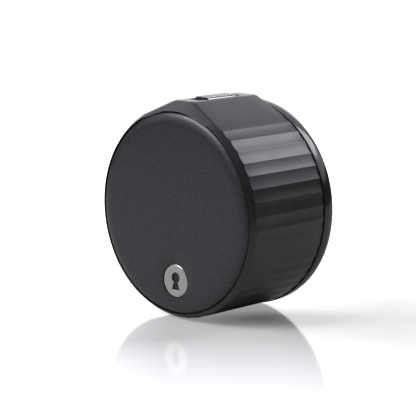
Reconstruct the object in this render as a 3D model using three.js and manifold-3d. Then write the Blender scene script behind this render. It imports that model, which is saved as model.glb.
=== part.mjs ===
// Round smart lock: the interior unit of a motorised deadbolt.
//
// Built in a lock frame, which is turned into the world at the end of the file. In the lock frame x points
// right, y points up and z is the distance from the door, all in millimetres. In the world the front faces -Y
// and +Z is up.
import * as THREE from "three";
import { mergeVertices } from "three/addons/utils/BufferGeometryUtils.js";
import Module from "manifold-3d";

const wasm = await Module();
wasm.setup();

// ---- Driving dimensions ----

const TAU = 2 * Math.PI;
const DEG = Math.PI / 180;
const GAP = 0.3; // clearance between neighbouring pieces
const ROUND = 40; // facets round a large circle
const SMOOTH = 48; // facets round the largest running surfaces
const MEDIUM = 32; // facets round a hub or an emblem
const FINE = 12; // facets round a small pin or hole
const TINY = 8; // facets round a screw
const THROUGH = 1; // how far a cutting tool runs past the faces it cuts

// Turning shell
const RIDGE_R = 34.9; // outer radius at the ridges between the flutes
const FLUTES = 42; // concave flutes, from one side of the raised ridge round to the other
const FLUTE_PITCH = 7.267 * DEG;
const FLUTE_DEPTH = 0.12; // hollow of a flute below its chord
const SHELL_INNER_R = 32.4;
const LEDGE_R = 31.0; // inner radius of the ledge under the cover
const LEDGE_REAR = [35.4, 36.8]; // the ledge's rear face slopes between these distances from the door
const SHELL_REAR = 5.6;
const SHELL_FRONT = 39.7;
const LIP_R = 33.6; // inner edge of the front bevel
const BEVEL_SLOPE = 1.5; // axial length of the front bevel per unit of radius
const ROOF_Y = 36.5; // flat roof of the raised ridge
const ROOF_HALF = 4.4;

// Release lever in the roof of the ridge
const LEVER_HALF = 2.8;
const LEVER_REAR_Y = 34.6; // underside of the arm
const LEVER_FRONT = 27.0;
const LEVER_TOP = ROOF_Y + 0.6; // the lever stands a little proud of the roof
const LEVER_PIVOT = { y: 35.3, z: 13.3 };
const HEEL_R = LEVER_TOP - LEVER_PIVOT.y;
const LIP_LENGTH = 1.6; // fingertip lip at the front of the arm
const LIP_Y = 35.9; // underside of the lip
const NOTCH_LENGTH = 3.4; // finger notch in front of the lever
const NOTCH_FLOOR = 35.0;
const LEVER_PIN_R = 0.6;
const LEVER_PIN_HALF = 4.2;
const LEVER_BORE_R = 0.9;

// Cover
const COVER_R = 33.1;
const COVER_REAR = 38.8;
const COVER_FRONT = 40.7;
const COVER_ROUND = 0.9; // radius of its front edge
const EMBLEM_R = 5.4;
const EMBLEM_X = 1.4;
const EMBLEM_Y = -22.1;
const EMBLEM_SEAT = 0.9; // depth of the emblem's seat
const MAGNET_R = 2.3;
const MAGNET_SEAT_R = 2.6; // also the radius of the steel discs below the magnets

// Fixed base
const BASE_R = 35.1; // largest radius of the base ring
const BASE_REAR_R = 33.9;
const BASE_INNER_R = 30.9;
const BASE_FRONT = 5.2;
const SEAT_R = 31.9; // seat of the base plate inside the base ring
const SEAT_FRONT_R = 33.2;
const PLATE_R = 30.4; // mounting plate
const PLATE_THICK = 2.0;
const PLATE_HOLE_R = 9.6;
const PLATE_NOTCH_R = 3.0;
const SCREW_SLOT_X = 20; // centres of the door screws, either side of the axis
const SCREW_SLOT = [9, 5]; // length and width
const BASE_PLATE_R = 31.6;
const BASE_PLATE_REAR = 3.0;
const BASE_PLATE_FRONT = 4.6;
const BASE_PLATE_HOLE_R = 9.0;
const BUSHING_R = [7.4, 8.7];
const BUSHING_REAR = 2.7;
const GLIDE_R = [30.4, 32.0];
const GLIDE_FRONT = 9.4;

// Gears
const RING_MODULE = 0.8;
const RING_TEETH = 66;
const DRIVE_TEETH = 12;
const GEAR_MODULE = 0.6;
const WHEEL_TEETH = 30;
const PINION_TEETH = 12;
const TOOTH_SHARE = 0.34; // tooth thickness at the pitch circle, as a share of the tooth pitch
const RING_GEAR_R = 30.0; // outside of the ring gear
const RING_GEAR_FRONT = 9.7;
const MOTOR_RADIUS = 24.6; // distance of the motor from the turning axis
const FIRST_RADIUS = 20;
const HUB_R = { first: 2.6, second: 3.2 };

// Cells
const CELL_R = 8.5;
const CELL_HALF = 17.2; // half the length of a cell's can
const CELL_X = 8.85;
const CELL_DEPTH = 27.4; // distance of the cells' axes from the door

// ---- Solids ----

// A three.js geometry as a manifold solid, with its faces turned outwards.
function solidOf(geometry) {
  const bare = geometry.clone();
  bare.deleteAttribute("normal");
  bare.deleteAttribute("uv");
  const merged = mergeVertices(bare, 1e-4);
  const corners = merged.index.array;
  const kept = [];
  for (let i = 0; i < corners.length; i += 3) {
    const [a, b, c] = [corners[i], corners[i + 1], corners[i + 2]];
    if (a !== b && b !== c && c !== a) kept.push(a, b, c);
  }
  const build = (triVerts) =>
    new wasm.Manifold(
      new wasm.Mesh({
        numProp: 3,
        vertProperties: new Float32Array(merged.attributes.position.array),
        triVerts: new Uint32Array(triVerts),
      }),
    );
  const made = build(kept);
  return made.volume() < 0 ? build([...kept].reverse()) : made;
}

function geometryOf(solid) {
  const mesh = solid.getMesh();
  const geometry = new THREE.BufferGeometry();
  geometry.setAttribute("position", new THREE.BufferAttribute(mesh.vertProperties, 3));
  geometry.setIndex(new THREE.BufferAttribute(mesh.triVerts, 1));
  const flat = geometry.toNonIndexed();
  flat.computeVertexNormals();
  return flat;
}

const join = (first, ...others) => others.reduce((made, other) => made.add(other), first);
const cut = (first, ...others) => others.reduce((made, other) => made.subtract(other), first);

// A profile of [radius, depth] points, turned about the z axis.
function turned(profile, facets = ROUND) {
  const points = profile.map(([radius, depth]) => new THREE.Vector2(radius, depth));
  return solidOf(new THREE.LatheGeometry(points, facets).rotateX(Math.PI / 2));
}

function disc(radius, rear, front, facets = ROUND) {
  return turned([[0, rear], [radius, rear], [radius, front], [0, front]], facets);
}

function ring(inner, outer, rear, front, facets = ROUND) {
  return turned([[inner, rear], [outer, rear], [outer, front], [inner, front], [inner, rear]], facets);
}

function pin(x, y, radius, rear, front, facets = FINE) {
  return disc(radius, rear, front, facets).translate([x, y, 0]);
}

// A box from its lowest to its highest corner.
function block([x0, y0, z0], [x1, y1, z1]) {
  const geometry = new THREE.BoxGeometry(x1 - x0, y1 - y0, z1 - z0);
  return solidOf(geometry.translate((x0 + x1) / 2, (y0 + y1) / 2, (z0 + z1) / 2));
}

function extruded(shape, rear, front, curveSegments = 12) {
  const depth = front - rear;
  const geometry = new THREE.ExtrudeGeometry(shape, { depth, bevelEnabled: false, curveSegments });
  return solidOf(geometry.translate(0, 0, rear));
}

// A rod along x or y, with its middle at the given point.
function rodAlong(axis, [x, y, z], radius, half, facets = FINE) {
  const geometry = new THREE.CylinderGeometry(radius, radius, 2 * half, facets);
  if (axis === "x") geometry.rotateZ(Math.PI / 2);
  return solidOf(geometry.translate(x, y, z));
}

// An outline with round ends, `length` along x and `width` along y, about its centre.
function slotShape(x, y, length, width) {
  const r = width / 2;
  const half = length / 2 - r;
  const shape = new THREE.Shape();
  shape.moveTo(x - half, y - r);
  shape.lineTo(x + half, y - r);
  shape.absarc(x + half, y, r, -Math.PI / 2, Math.PI / 2);
  shape.lineTo(x - half, y + r);
  shape.absarc(x - half, y, r, Math.PI / 2, 1.5 * Math.PI);
  return shape;
}

function around(count, radius, start, make) {
  return Array.from({ length: count }, (_, i) => {
    const angle = start + (i * TAU) / count;
    return make(radius * Math.cos(angle), radius * Math.sin(angle), i, angle);
  });
}

// ---- Gear outlines ----

// Straight-flanked teeth: `sign` is 1 for teeth that point out and -1 for the teeth of a ring gear.
function toothPoints(teeth, module, phase, sign) {
  const pitch = (teeth * module) / 2;
  const step = TAU / teeth;
  const root = pitch - sign * 1.25 * module;
  const tip = pitch + sign * 0.85 * module;
  const rootHalf = step * (TOOTH_SHARE / 2 + 0.12);
  const tipHalf = step * (TOOTH_SHARE / 2 - 0.08);
  return Array.from({ length: teeth }, (_, i) => phase + i * step).flatMap((middle) =>
    [
      [root, middle - rootHalf],
      [tip, middle - tipHalf],
      [tip, middle + tipHalf],
      [root, middle + rootHalf],
    ].map(([r, angle]) => new THREE.Vector2(r * Math.cos(angle), r * Math.sin(angle))),
  );
}

function gear(centre, teeth, module, phase, bore, rear, front) {
  const shape = new THREE.Shape(toothPoints(teeth, module, phase, 1));
  const blank = extruded(shape, rear, front).translate([centre.x, centre.y, 0]);
  return bore ? cut(blank, pin(centre.x, centre.y, bore, rear - 1, front + 1, 16)) : blank;
}

// The phase at which a driven gear's gap meets the driver's tooth on the line between their centres.
function meshedPhase(driver, driven) {
  const line = Math.atan2(driven.centre.y - driver.centre.y, driven.centre.x - driver.centre.x);
  const driverShare = ((line - driver.phase) * driver.teeth) / TAU;
  return line + Math.PI - ((0.5 - driverShare) * TAU) / driven.teeth;
}

const polar = (radius, angle) => new THREE.Vector2(radius * Math.cos(angle), radius * Math.sin(angle));

// The angle at the turning axis between two centres, from their radii and the distance between them.
const spanAngle = (a, b, distance) => Math.acos((a * a + b * b - distance * distance) / (2 * a * b));

const driveRadius = ((RING_TEETH - DRIVE_TEETH) * RING_MODULE) / 2;
const centreDistance = ((WHEEL_TEETH + PINION_TEETH) * GEAR_MODULE) / 2;
const motorAt = polar(MOTOR_RADIUS, 0);
const firstAngle = -spanAngle(MOTOR_RADIUS, FIRST_RADIUS, centreDistance);
const firstAt = polar(FIRST_RADIUS, firstAngle);
const secondAngle = firstAngle - spanAngle(FIRST_RADIUS, driveRadius, centreDistance);
const secondAt = polar(driveRadius, secondAngle);

// Gear layers, as distances from the door
const DRIVE_LAYER = [6.6, 9.4];
const SECOND_LAYER = [9.9, 11.9];
const FIRST_LAYER = [12.6, 14.4];
const MOTOR_LAYER = [12.4, 14.6];
const GEARBOX_PLATE = [5.1, 6.1];
const CHASSIS = [15.1, 16.7];
const SHAFT_R = 1.0;
const SHAFT_HOLE_R = 1.35;

// ---- Fixed base ----

function mountingPlate() {
  const plate = disc(PLATE_R, 0, PLATE_THICK);
  const layer = [-THROUGH, PLATE_THICK + THROUGH];
  const slotAt = (x) => extruded(slotShape(x, 0, ...SCREW_SLOT), ...layer, 4);
  const slots = [-SCREW_SLOT_X, SCREW_SLOT_X].map(slotAt);
  const notches = around(3, PLATE_R, Math.PI / 2, (x, y) => pin(x, y, PLATE_NOTCH_R, ...layer));
  return cut(plate, disc(PLATE_HOLE_R, ...layer, MEDIUM), ...slots, ...notches);
}

function baseRing() {
  const profile = [
    [BASE_INNER_R, 0],
    [BASE_REAR_R, 0],
    [BASE_REAR_R + 0.8, 1.0],
    [BASE_R, 2.6],
    [BASE_R, BASE_FRONT - 0.15],
    [BASE_R - 0.15, BASE_FRONT],
    [SEAT_FRONT_R, BASE_FRONT],
    [SEAT_FRONT_R, BASE_PLATE_FRONT + GAP],
    [SEAT_R, BASE_PLATE_FRONT + GAP],
    [SEAT_R, BASE_PLATE_REAR - GAP],
    [BASE_INNER_R, BASE_PLATE_REAR - GAP],
    [BASE_INNER_R, 0],
  ];
  return turned(profile, SMOOTH);
}

const BASE_SCREW_R = 28.7; // distance of the screws from the axis
const BASE_SCREW_START = Math.PI / 6;
const BASE_SCREW_HOLE_R = 0.95;
const BASE_SCREW_TIP = 6.8;

function basePlate() {
  const plate = disc(BASE_PLATE_R, BASE_PLATE_REAR, BASE_PLATE_FRONT);
  const layer = [BASE_PLATE_REAR - THROUGH, BASE_PLATE_FRONT + THROUGH];
  const holes = around(3, BASE_SCREW_R, BASE_SCREW_START, (x, y) =>
    pin(x, y, BASE_SCREW_HOLE_R, ...layer, TINY),
  );
  return cut(plate, disc(BASE_PLATE_HOLE_R, ...layer, MEDIUM), ...holes);
}

const baseScrew = (x, y) => join(pin(x, y, 0.6, 2.6, BASE_SCREW_TIP, TINY), pin(x, y, 1.5, 2.1, 2.7, TINY));

function ringGear() {
  const shape = new THREE.Shape();
  shape.absarc(0, 0, RING_GEAR_R, 0, TAU);
  shape.holes.push(new THREE.Path(toothPoints(RING_TEETH, RING_MODULE, 0, -1)));
  const blank = extruded(shape, BASE_PLATE_FRONT + GAP, RING_GEAR_FRONT, ROUND / 2);
  const pilots = around(3, BASE_SCREW_R, BASE_SCREW_START, (x, y) =>
    pin(x, y, BASE_SCREW_HOLE_R, BASE_PLATE_REAR, BASE_SCREW_TIP + 0.4, TINY),
  );
  return cut(blank, ...pilots);
}

const glideRing = () => ring(...GLIDE_R, SHELL_REAR + GAP, GLIDE_FRONT, SMOOTH);
const hubBushing = () => ring(...BUSHING_R, BUSHING_REAR, BASE_PLATE_FRONT + 0.1, MEDIUM);

// ---- Turning body ----

// The outline of the shell: flutes round the sides and bottom, straight flanks and a flat roof.
function shellOutline() {
  const first = -Math.PI / 2 - (FLUTES * FLUTE_PITCH) / 2;
  const ridge = (i) => polar(RIDGE_R, first + i * FLUTE_PITCH);
  const chordR = RIDGE_R * Math.cos(FLUTE_PITCH / 2);
  const shape = new THREE.Shape();
  shape.moveTo(ridge(0).x, ridge(0).y);
  for (let i = 0; i < FLUTES; i += 1) {
    const control = polar(chordR - 2 * FLUTE_DEPTH, first + (i + 0.5) * FLUTE_PITCH);
    shape.quadraticCurveTo(control.x, control.y, ridge(i + 1).x, ridge(i + 1).y);
  }
  shape.lineTo(ROOF_HALF, ROOF_Y);
  shape.lineTo(-ROOF_HALF, ROOF_Y);
  shape.closePath();
  return shape;
}

function outerShell() {
  const body = extruded(shellOutline(), SHELL_REAR, SHELL_FRONT, 2);
  const reach = 5; // how far past the lip the bevel tool runs
  const bevel = turned([
    [0, 0],
    [LIP_R + reach, 0],
    [LIP_R + reach, SHELL_FRONT - reach * BEVEL_SLOPE],
    [LIP_R, SHELL_FRONT],
    [LIP_R, SHELL_FRONT + THROUGH],
    [0, SHELL_FRONT + THROUGH],
  ], SMOOTH);
  const hollow = turned([
    [0, 0],
    [SHELL_INNER_R, 0],
    [SHELL_INNER_R, LEDGE_REAR[0]],
    [LEDGE_R, LEDGE_REAR[1]],
    [LEDGE_R, COVER_REAR - GAP],
    [COVER_R + GAP, COVER_REAR - GAP],
    [COVER_R + GAP, SHELL_FRONT + THROUGH],
    [0, SHELL_FRONT + THROUGH],
  ], SMOOTH);
  const { y, z } = LEVER_PIVOT;
  const above = ROOF_Y + THROUGH;
  const wide = LEVER_HALF + GAP;
  const narrow = wide - 0.6;
  const leverSlot = block([-wide, y - HEEL_R - 0.2, z - HEEL_R - GAP], [wide, above, LEVER_FRONT + GAP]);
  const fingerNotch = block([-narrow, NOTCH_FLOOR, LEVER_FRONT], [narrow, above, LEVER_FRONT + NOTCH_LENGTH]);
  const pinHole = rodAlong("x", [0, y, z], LEVER_BORE_R, LEVER_PIN_HALF + GAP, TINY);
  const screwHoles = SHELL_SCREW_ANGLES.map((angle) => radialRod(angle, 0.8, 32, 33.6));
  return cut(body.intersect(bevel), hollow, leverSlot, fingerNotch, pinHole, ...screwHoles);
}

// The chassis is held by three screws set from inside, through its rim into the shell wall.
const CHASSIS_R = 32.0;
const SHELL_SCREW_Z = (CHASSIS[0] + CHASSIS[1]) / 2;
const SHELL_SCREW_ANGLES = [30, 150, 270].map((angle) => angle * DEG);

// A rod that points away from the axis, at the height of the shell screws.
function radialRod(angle, radius, from, to) {
  const middle = (from + to) / 2;
  const geometry = new THREE.CylinderGeometry(radius, radius, to - from, TINY);
  geometry.rotateZ(angle - Math.PI / 2);
  return solidOf(geometry.translate(middle * Math.cos(angle), middle * Math.sin(angle), SHELL_SCREW_Z));
}

const shellScrew = (angle) => radialRod(angle, 0.5, 30.2, 33.3);

const POSTS = [70, 145, 215].map((angle) => polar(20.5, angle * DEG));
const POST_HOLE_R = 1.5;

function chassis() {
  const plate = disc(CHASSIS_R, ...CHASSIS, SMOOTH);
  const layer = [CHASSIS[0] - THROUGH, CHASSIS[1] + THROUGH];
  const shaftHoles = [firstAt, secondAt].map((at) => pin(at.x, at.y, SHAFT_HOLE_R, ...layer));
  const motorHole = pin(motorAt.x, motorAt.y, 3.2, ...layer);
  const postHoles = POSTS.map((at) => pin(at.x, at.y, POST_HOLE_R, ...layer, TINY));
  const screwHoles = SHELL_SCREW_ANGLES.map((angle) => radialRod(angle, 0.79, 29.9, 33));
  return cut(plate, ...shaftHoles, motorHole, ...postHoles, ...screwHoles);
}

function gearboxPlate() {
  const plate = disc(25.2, ...GEARBOX_PLATE);
  const layer = [GEARBOX_PLATE[0] - THROUGH, GEARBOX_PLATE[1] + THROUGH];
  const shaftHoles = [firstAt, secondAt].map((at) => pin(at.x, at.y, SHAFT_HOLE_R, ...layer));
  const postHoles = POSTS.map((at) => pin(at.x, at.y, POST_HOLE_R, ...layer, TINY));
  return cut(plate, disc(7.4, ...layer, MEDIUM), ...shaftHoles, ...postHoles);
}

const platePost = (at) =>
  turned([
    [0, GEARBOX_PLATE[0]],
    [1.2, GEARBOX_PLATE[0]],
    [1.2, GEARBOX_PLATE[1] + GAP],
    [2.3, GEARBOX_PLATE[1] + GAP],
    [2.3, CHASSIS[0] - GAP],
    [1.2, CHASSIS[0] - GAP],
    [1.2, CHASSIS[1]],
    [0, CHASSIS[1]],
  ], TINY).translate([at.x, at.y, 0]);

const gearShaft = (at) => pin(at.x, at.y, SHAFT_R, GEARBOX_PLATE[0] + 0.1, CHASSIS[1]);

// The coupler takes the deadbolt's flat tailpiece in a rectangular socket.
const SOCKET_HALF = [4.7, 2.7];
const COUPLER_R = 7.1;
const COUPLER_REAR = 0.4;
const COUPLER_FRONT = 12.2;
const COUPLER_WALL = 1.2; // closed front end of the socket
const FLANGE_R = 9.2;
const FLANGE_FRONT = 8.4;
const GROOVE = [1.2, 2.3];
const GROOVE_R = 6.4;

function tailCoupler() {
  const body = turned([
    [0, COUPLER_REAR],
    [COUPLER_R, COUPLER_REAR],
    [COUPLER_R, GROOVE[0]],
    [GROOVE_R, GROOVE[0]],
    [GROOVE_R, GROOVE[1]],
    [COUPLER_R, GROOVE[1]],
    [COUPLER_R, GEARBOX_PLATE[1] + GAP],
    [FLANGE_R, GEARBOX_PLATE[1] + GAP],
    [FLANGE_R, FLANGE_FRONT],
    [COUPLER_R, FLANGE_FRONT],
    [COUPLER_R, COUPLER_FRONT],
    [0, COUPLER_FRONT],
  ], MEDIUM);
  const [halfX, halfY] = SOCKET_HALF;
  return cut(body, block([-halfX, -halfY, -THROUGH], [halfX, halfY, COUPLER_FRONT - COUPLER_WALL]));
}

// An open ring that snaps into the coupler's groove behind the hub.
function couplerClip() {
  const whole = ring(GROOVE_R + GAP, 8.9, GROOVE[0] + GAP, GROOVE[1] - 0.2, MEDIUM);
  return cut(whole, block([-1.6, -FLANGE_R, 0], [1.6, 0, GROOVE[1] + THROUGH]));
}

// ---- Electronics and cells ----

const MOTOR_FRONT = 32.4;
const MOTOR_R = 5.9;
const MOTOR_FLAT = 5.0; // distance of the can's two flats from the motor's axis
const MOTOR_SHAFT_R = 0.8;

function motor() {
  const { x, y } = motorAt;
  const can = pin(x, y, MOTOR_R, CHASSIS[1] + GAP, MOTOR_FRONT);
  const level = [CHASSIS[0], MOTOR_FRONT + THROUGH];
  const leftFlat = block([x - 2 * MOTOR_R, -MOTOR_R, level[0]], [x - MOTOR_FLAT, MOTOR_R, level[1]]);
  const rightFlat = block([x + MOTOR_FLAT, -MOTOR_R, level[0]], [x + 2 * MOTOR_R, MOTOR_R, level[1]]);
  const boss = pin(x, y, 2.6, CHASSIS[0] + 0.4, CHASSIS[1] + THROUGH);
  const bore = pin(x, y, MOTOR_SHAFT_R + GAP, CHASSIS[0] - THROUGH, 20);
  return cut(join(cut(can, leftFlat, rightFlat), boss), bore);
}

const BOARD = [17.0, 18.1];
const BOARD_R = 30.6;

function mainBoard() {
  const layer = [BOARD[0] - THROUGH, BOARD[1] + THROUGH];
  const motorBay = block([motorAt.x - MOTOR_R - 0.1, -8, layer[0]], [BOARD_R + THROUGH, 8, layer[1]]);
  const holes = [...POSTS, firstAt, secondAt].map((at) => pin(at.x, at.y, 2.2, ...layer, TINY));
  return cut(disc(BOARD_R, ...BOARD), motorBay, ...holes);
}

// A tray with a round deck just under the cover, two round-bottomed bays for the cells, a seat for each steel
// disc, three screw bosses and a sleeve for the button.
const TRAY_REAR = 18.4;
const DECK = [33.2, 34.6];
const DECK_R = 30.7;
const TRAY_HALF = [18.3, 20.6];
const CATCH_RADIUS = 25.6;
const CATCH_ANGLES = [52, 128, 232, 308].map((angle) => angle * DEG);
const CATCH_SEAT_R = 2.9;
const TRAY_SCREW_RADIUS = 27.6;
const BUTTON_AT = { x: -23.6, y: 8.6 };
const BUTTON_R = 1.7;
const BAY_HALF = CELL_HALF + 2.1; // half the length of a cell bay

function batteryTray() {
  const [halfX, halfY] = TRAY_HALF;
  const frame = block([-halfX, -halfY, TRAY_REAR], [halfX, halfY, DECK[1]]);
  const seatBosses = CATCH_ANGLES.map((angle) => atCatch(angle, 4.2, DECK[0] - 3, DECK[1]));
  const screwBosses = around(3, TRAY_SCREW_RADIUS, Math.PI / 2, (x, y) => pin(x, y, 2.4, TRAY_REAR, DECK[1]));
  const sleeve = pin(BUTTON_AT.x, BUTTON_AT.y, BUTTON_R + 1.3, 27, DECK[1]);
  const above = DECK[1] + THROUGH;
  const bayR = CELL_R + GAP;
  const bays = [-CELL_X, CELL_X].map((x) =>
    join(
      rodAlong("y", [x, 0, CELL_DEPTH], bayR, BAY_HALF, 24),
      block([x - bayR, -BAY_HALF, CELL_DEPTH], [x + bayR, BAY_HALF, above]),
    ),
  );
  const seats = CATCH_ANGLES.map((angle) => atCatch(angle, CATCH_SEAT_R, DECK[1] - 1.3, above));
  const screwHoles = around(3, TRAY_SCREW_RADIUS, Math.PI / 2, (x, y) =>
    join(pin(x, y, 0.9, 28, above, TINY), pin(x, y, 1.9, DECK[1] - 0.9, above)),
  );
  const buttonBore = pin(BUTTON_AT.x, BUTTON_AT.y, BUTTON_R + GAP, 28.5, above);
  const solid = join(frame, disc(DECK_R, ...DECK), ...seatBosses, ...screwBosses, sleeve);
  return cut(solid, ...bays, ...seats, ...screwHoles, buttonBore);
}

function atCatch(angle, radius, rear, front) {
  const at = polar(CATCH_RADIUS, angle);
  return pin(at.x, at.y, radius, rear, front);
}

const trayScrew = (x, y) =>
  join(pin(x, y, 0.6, 29, DECK[1] - 0.5, TINY), pin(x, y, 1.6, DECK[1] - 0.6, DECK[1] + 0.1, TINY));

// A lithium cell lying along y, with its raised positive end up or down.
function cell(x, up) {
  const can = rodAlong("y", [x, 0, CELL_DEPTH], CELL_R, CELL_HALF - 0.4, 24);
  return join(can, rodAlong("y", [x, up * (CELL_HALF - 0.5), CELL_DEPTH], 3.0, 1.0));
}

// A conical coil that presses on a cell's flat end, wound round the cell's axis.
function contactSpring(x, end) {
  const turns = 2;
  const steps = 28;
  const points = Array.from({ length: steps + 1 }, (_, i) => {
    const share = i / steps;
    const angle = share * turns * TAU;
    const radius = 4.4 - 1.6 * share;
    const y = end * (CELL_HALF + 1.6 - 1.2 * share);
    return new THREE.Vector3(x + radius * Math.cos(angle), y, CELL_DEPTH + radius * Math.sin(angle));
  });
  const wire = new THREE.Shape();
  wire.absarc(0, 0, 0.25, 0, TAU);
  const path = new THREE.CatmullRomCurve3(points);
  const options = { steps, extrudePath: path, bevelEnabled: false, curveSegments: 2 };
  return solidOf(new THREE.ExtrudeGeometry(wire, options));
}

function contactPlate(x, end) {
  const inner = end * (CELL_HALF + 0.9);
  const outer = end * (CELL_HALF + 1.6);
  const [low, high] = [Math.min(inner, outer), Math.max(inner, outer)];
  return block([x - 4, low, CELL_DEPTH - 4], [x + 4, high, CELL_DEPTH + 6]);
}

const antennaBoard = () => block([-29.4, -8, 19], [-28.4, 3, 32]);

const SPEAKER_AT = { x: -23.4, y: -2.8 };
const SPEAKER_FRONT = 22.4;

function speaker() {
  const { x, y } = SPEAKER_AT;
  const body = pin(x, y, 4.2, BOARD[1] + GAP, SPEAKER_FRONT);
  return cut(body, pin(x, y, 2.6, SPEAKER_FRONT - 0.8, SPEAKER_FRONT + THROUGH));
}

// A round push button that stands a little proud of the deck, with a thinner plunger behind it.
function setupButton() {
  const { x, y } = BUTTON_AT;
  return join(pin(x, y, BUTTON_R, 30.2, DECK[1] + 0.4), pin(x, y, 0.9, 29.4, 31));
}

// ---- Cover and lever ----

function faceplate() {
  const profile = [[0, COVER_REAR], [COVER_R - 0.3, COVER_REAR], [COVER_R, COVER_REAR + 0.3]];
  const steps = 3;
  for (let i = 0; i <= steps; i += 1) {
    const angle = (i / steps) * (Math.PI / 2);
    const radius = COVER_R - COVER_ROUND * (1 - Math.cos(angle));
    profile.push([radius, COVER_FRONT - COVER_ROUND * (1 - Math.sin(angle))]);
  }
  profile.push([0, COVER_FRONT]);
  const above = COVER_FRONT + THROUGH;
  const seat = pin(EMBLEM_X, EMBLEM_Y, EMBLEM_R + GAP, COVER_FRONT - EMBLEM_SEAT, above, MEDIUM);
  const magnetSeats = CATCH_ANGLES.map((angle) =>
    atCatch(angle, MAGNET_SEAT_R, COVER_REAR - THROUGH, COVER_REAR + 0.4),
  );
  return cut(turned(profile, SMOOTH), seat, ...magnetSeats);
}

const emblem = () => pin(EMBLEM_X, EMBLEM_Y, EMBLEM_R, COVER_FRONT - 0.6, COVER_FRONT - 0.1, MEDIUM);

const COVER_MAGNET = [DECK[1] + GAP, COVER_REAR + 0.1];
const CATCH_DISC = [DECK[1] - 1.0, DECK[1] - 0.1];

// A flat lever with a round heel about its pin and a lip at the front for a fingertip.
function releaseLever() {
  const { y, z } = LEVER_PIVOT;
  const wide = LEVER_HALF + THROUGH;
  const heel = rodAlong("x", [0, y, z], HEEL_R, LEVER_HALF);
  const arm = block([-LEVER_HALF, LEVER_REAR_Y, z], [LEVER_HALF, LEVER_TOP, LEVER_FRONT]);
  const underLip = block([-wide, 0, LEVER_FRONT - LIP_LENGTH], [wide, LIP_Y, LEVER_FRONT + THROUGH]);
  return cut(join(heel, arm), underLip, rodAlong("x", [0, y, z], LEVER_BORE_R, wide, TINY));
}

const leverPin = () => rodAlong("x", [0, LEVER_PIVOT.y, LEVER_PIVOT.z], LEVER_PIN_R, LEVER_PIN_HALF, TINY);

// ---- Assembly ----

const finish = (color, roughness, metalness) => ({ color, roughness, metalness });
const ANODISED = finish(0x3c3c41, 0.42, 0.7);
const COVER_PAINT = finish(0x36363a, 0.72, 0.1);
const EMBLEM_SILVER = finish(0x9c9ca0, 0.4, 0.8);
const STEEL = finish(0xb4b6ba, 0.35, 0.9);
const ACETAL = finish(0xe6e4dc, 0.5, 0);
const DARK_PLASTIC = finish(0x1d1d20, 0.6, 0);
const BRASS = finish(0xb79a56, 0.35, 0.9);
const BOARD_GREEN = finish(0x1f5a3a, 0.5, 0.1);
const CELL_WRAP = finish(0x2e5fa8, 0.4, 0.1);
const GLIDE = finish(0xd8d6cc, 0.45, 0);

const lock = new THREE.Group();

function add(name, solid, look) {
  const mesh = new THREE.Mesh(geometryOf(solid), new THREE.MeshStandardMaterial(look));
  mesh.name = name;
  lock.add(mesh);
}

add("mounting_plate", mountingPlate(), STEEL);
add("base_ring", baseRing(), ANODISED);
add("base_plate", basePlate(), DARK_PLASTIC);
around(3, BASE_SCREW_R, BASE_SCREW_START, (x, y, i) => add(`base_screw_${i + 1}`, baseScrew(x, y), STEEL));
add("ring_gear", ringGear(), ACETAL);
add("glide_ring", glideRing(), GLIDE);
add("hub_bushing", hubBushing(), BRASS);

add("outer_shell", outerShell(), ANODISED);
add("chassis", chassis(), DARK_PLASTIC);
SHELL_SCREW_ANGLES.forEach((angle, i) => add(`shell_screw_${i + 1}`, shellScrew(angle), STEEL));
add("gearbox_plate", gearboxPlate(), STEEL);
POSTS.forEach((at, i) => add(`plate_post_${i + 1}`, platePost(at), BRASS));
add("first_gear_shaft", gearShaft(firstAt), STEEL);
add("second_gear_shaft", gearShaft(secondAt), STEEL);
add("tail_coupler", tailCoupler(), ACETAL);
add("coupler_clip", couplerClip(), STEEL);

// The gear train, meshed from the fixed ring gear up to the motor.
const drive = { centre: secondAt, teeth: DRIVE_TEETH };
const ringShare = (secondAngle * RING_TEETH) / TAU;
drive.phase = secondAngle - ((ringShare + 0.5) * TAU) / DRIVE_TEETH;
const secondWheel = { centre: secondAt, teeth: WHEEL_TEETH, phase: drive.phase };
const firstPinion = { centre: firstAt, teeth: PINION_TEETH };
firstPinion.phase = meshedPhase(secondWheel, firstPinion);
const firstWheel = { centre: firstAt, teeth: WHEEL_TEETH, phase: firstPinion.phase };
const motorPinion = { centre: motorAt, teeth: PINION_TEETH };
motorPinion.phase = meshedPhase(firstWheel, motorPinion);

const toothed = ({ centre, teeth, phase }, module, bore, [rear, front]) =>
  gear(centre, teeth, module, phase, bore, rear, front);

// The round part between a compound gear's two sets of teeth.
const hub = (at, radius, rear, front) =>
  cut(pin(at.x, at.y, radius, rear, front), pin(at.x, at.y, SHAFT_HOLE_R, 0, 20, 16));

add("second_gear", join(
  toothed(drive, RING_MODULE, SHAFT_HOLE_R, DRIVE_LAYER),
  hub(secondAt, HUB_R.second, DRIVE_LAYER[1] - 0.5, SECOND_LAYER[0] + 0.5),
  toothed(secondWheel, GEAR_MODULE, SHAFT_HOLE_R, SECOND_LAYER),
), ACETAL);
add("first_gear", join(
  toothed(firstPinion, GEAR_MODULE, SHAFT_HOLE_R, [SECOND_LAYER[0] - 0.2, SECOND_LAYER[1] + 0.2]),
  hub(firstAt, HUB_R.first, SECOND_LAYER[1], FIRST_LAYER[0] + 0.5),
  toothed(firstWheel, GEAR_MODULE, SHAFT_HOLE_R, FIRST_LAYER),
), ACETAL);
add("motor_pinion", join(
  toothed(motorPinion, GEAR_MODULE, 0, MOTOR_LAYER),
  pin(motorAt.x, motorAt.y, MOTOR_SHAFT_R, MOTOR_LAYER[1] - 0.5, 19, 16),
), BRASS);

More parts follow.
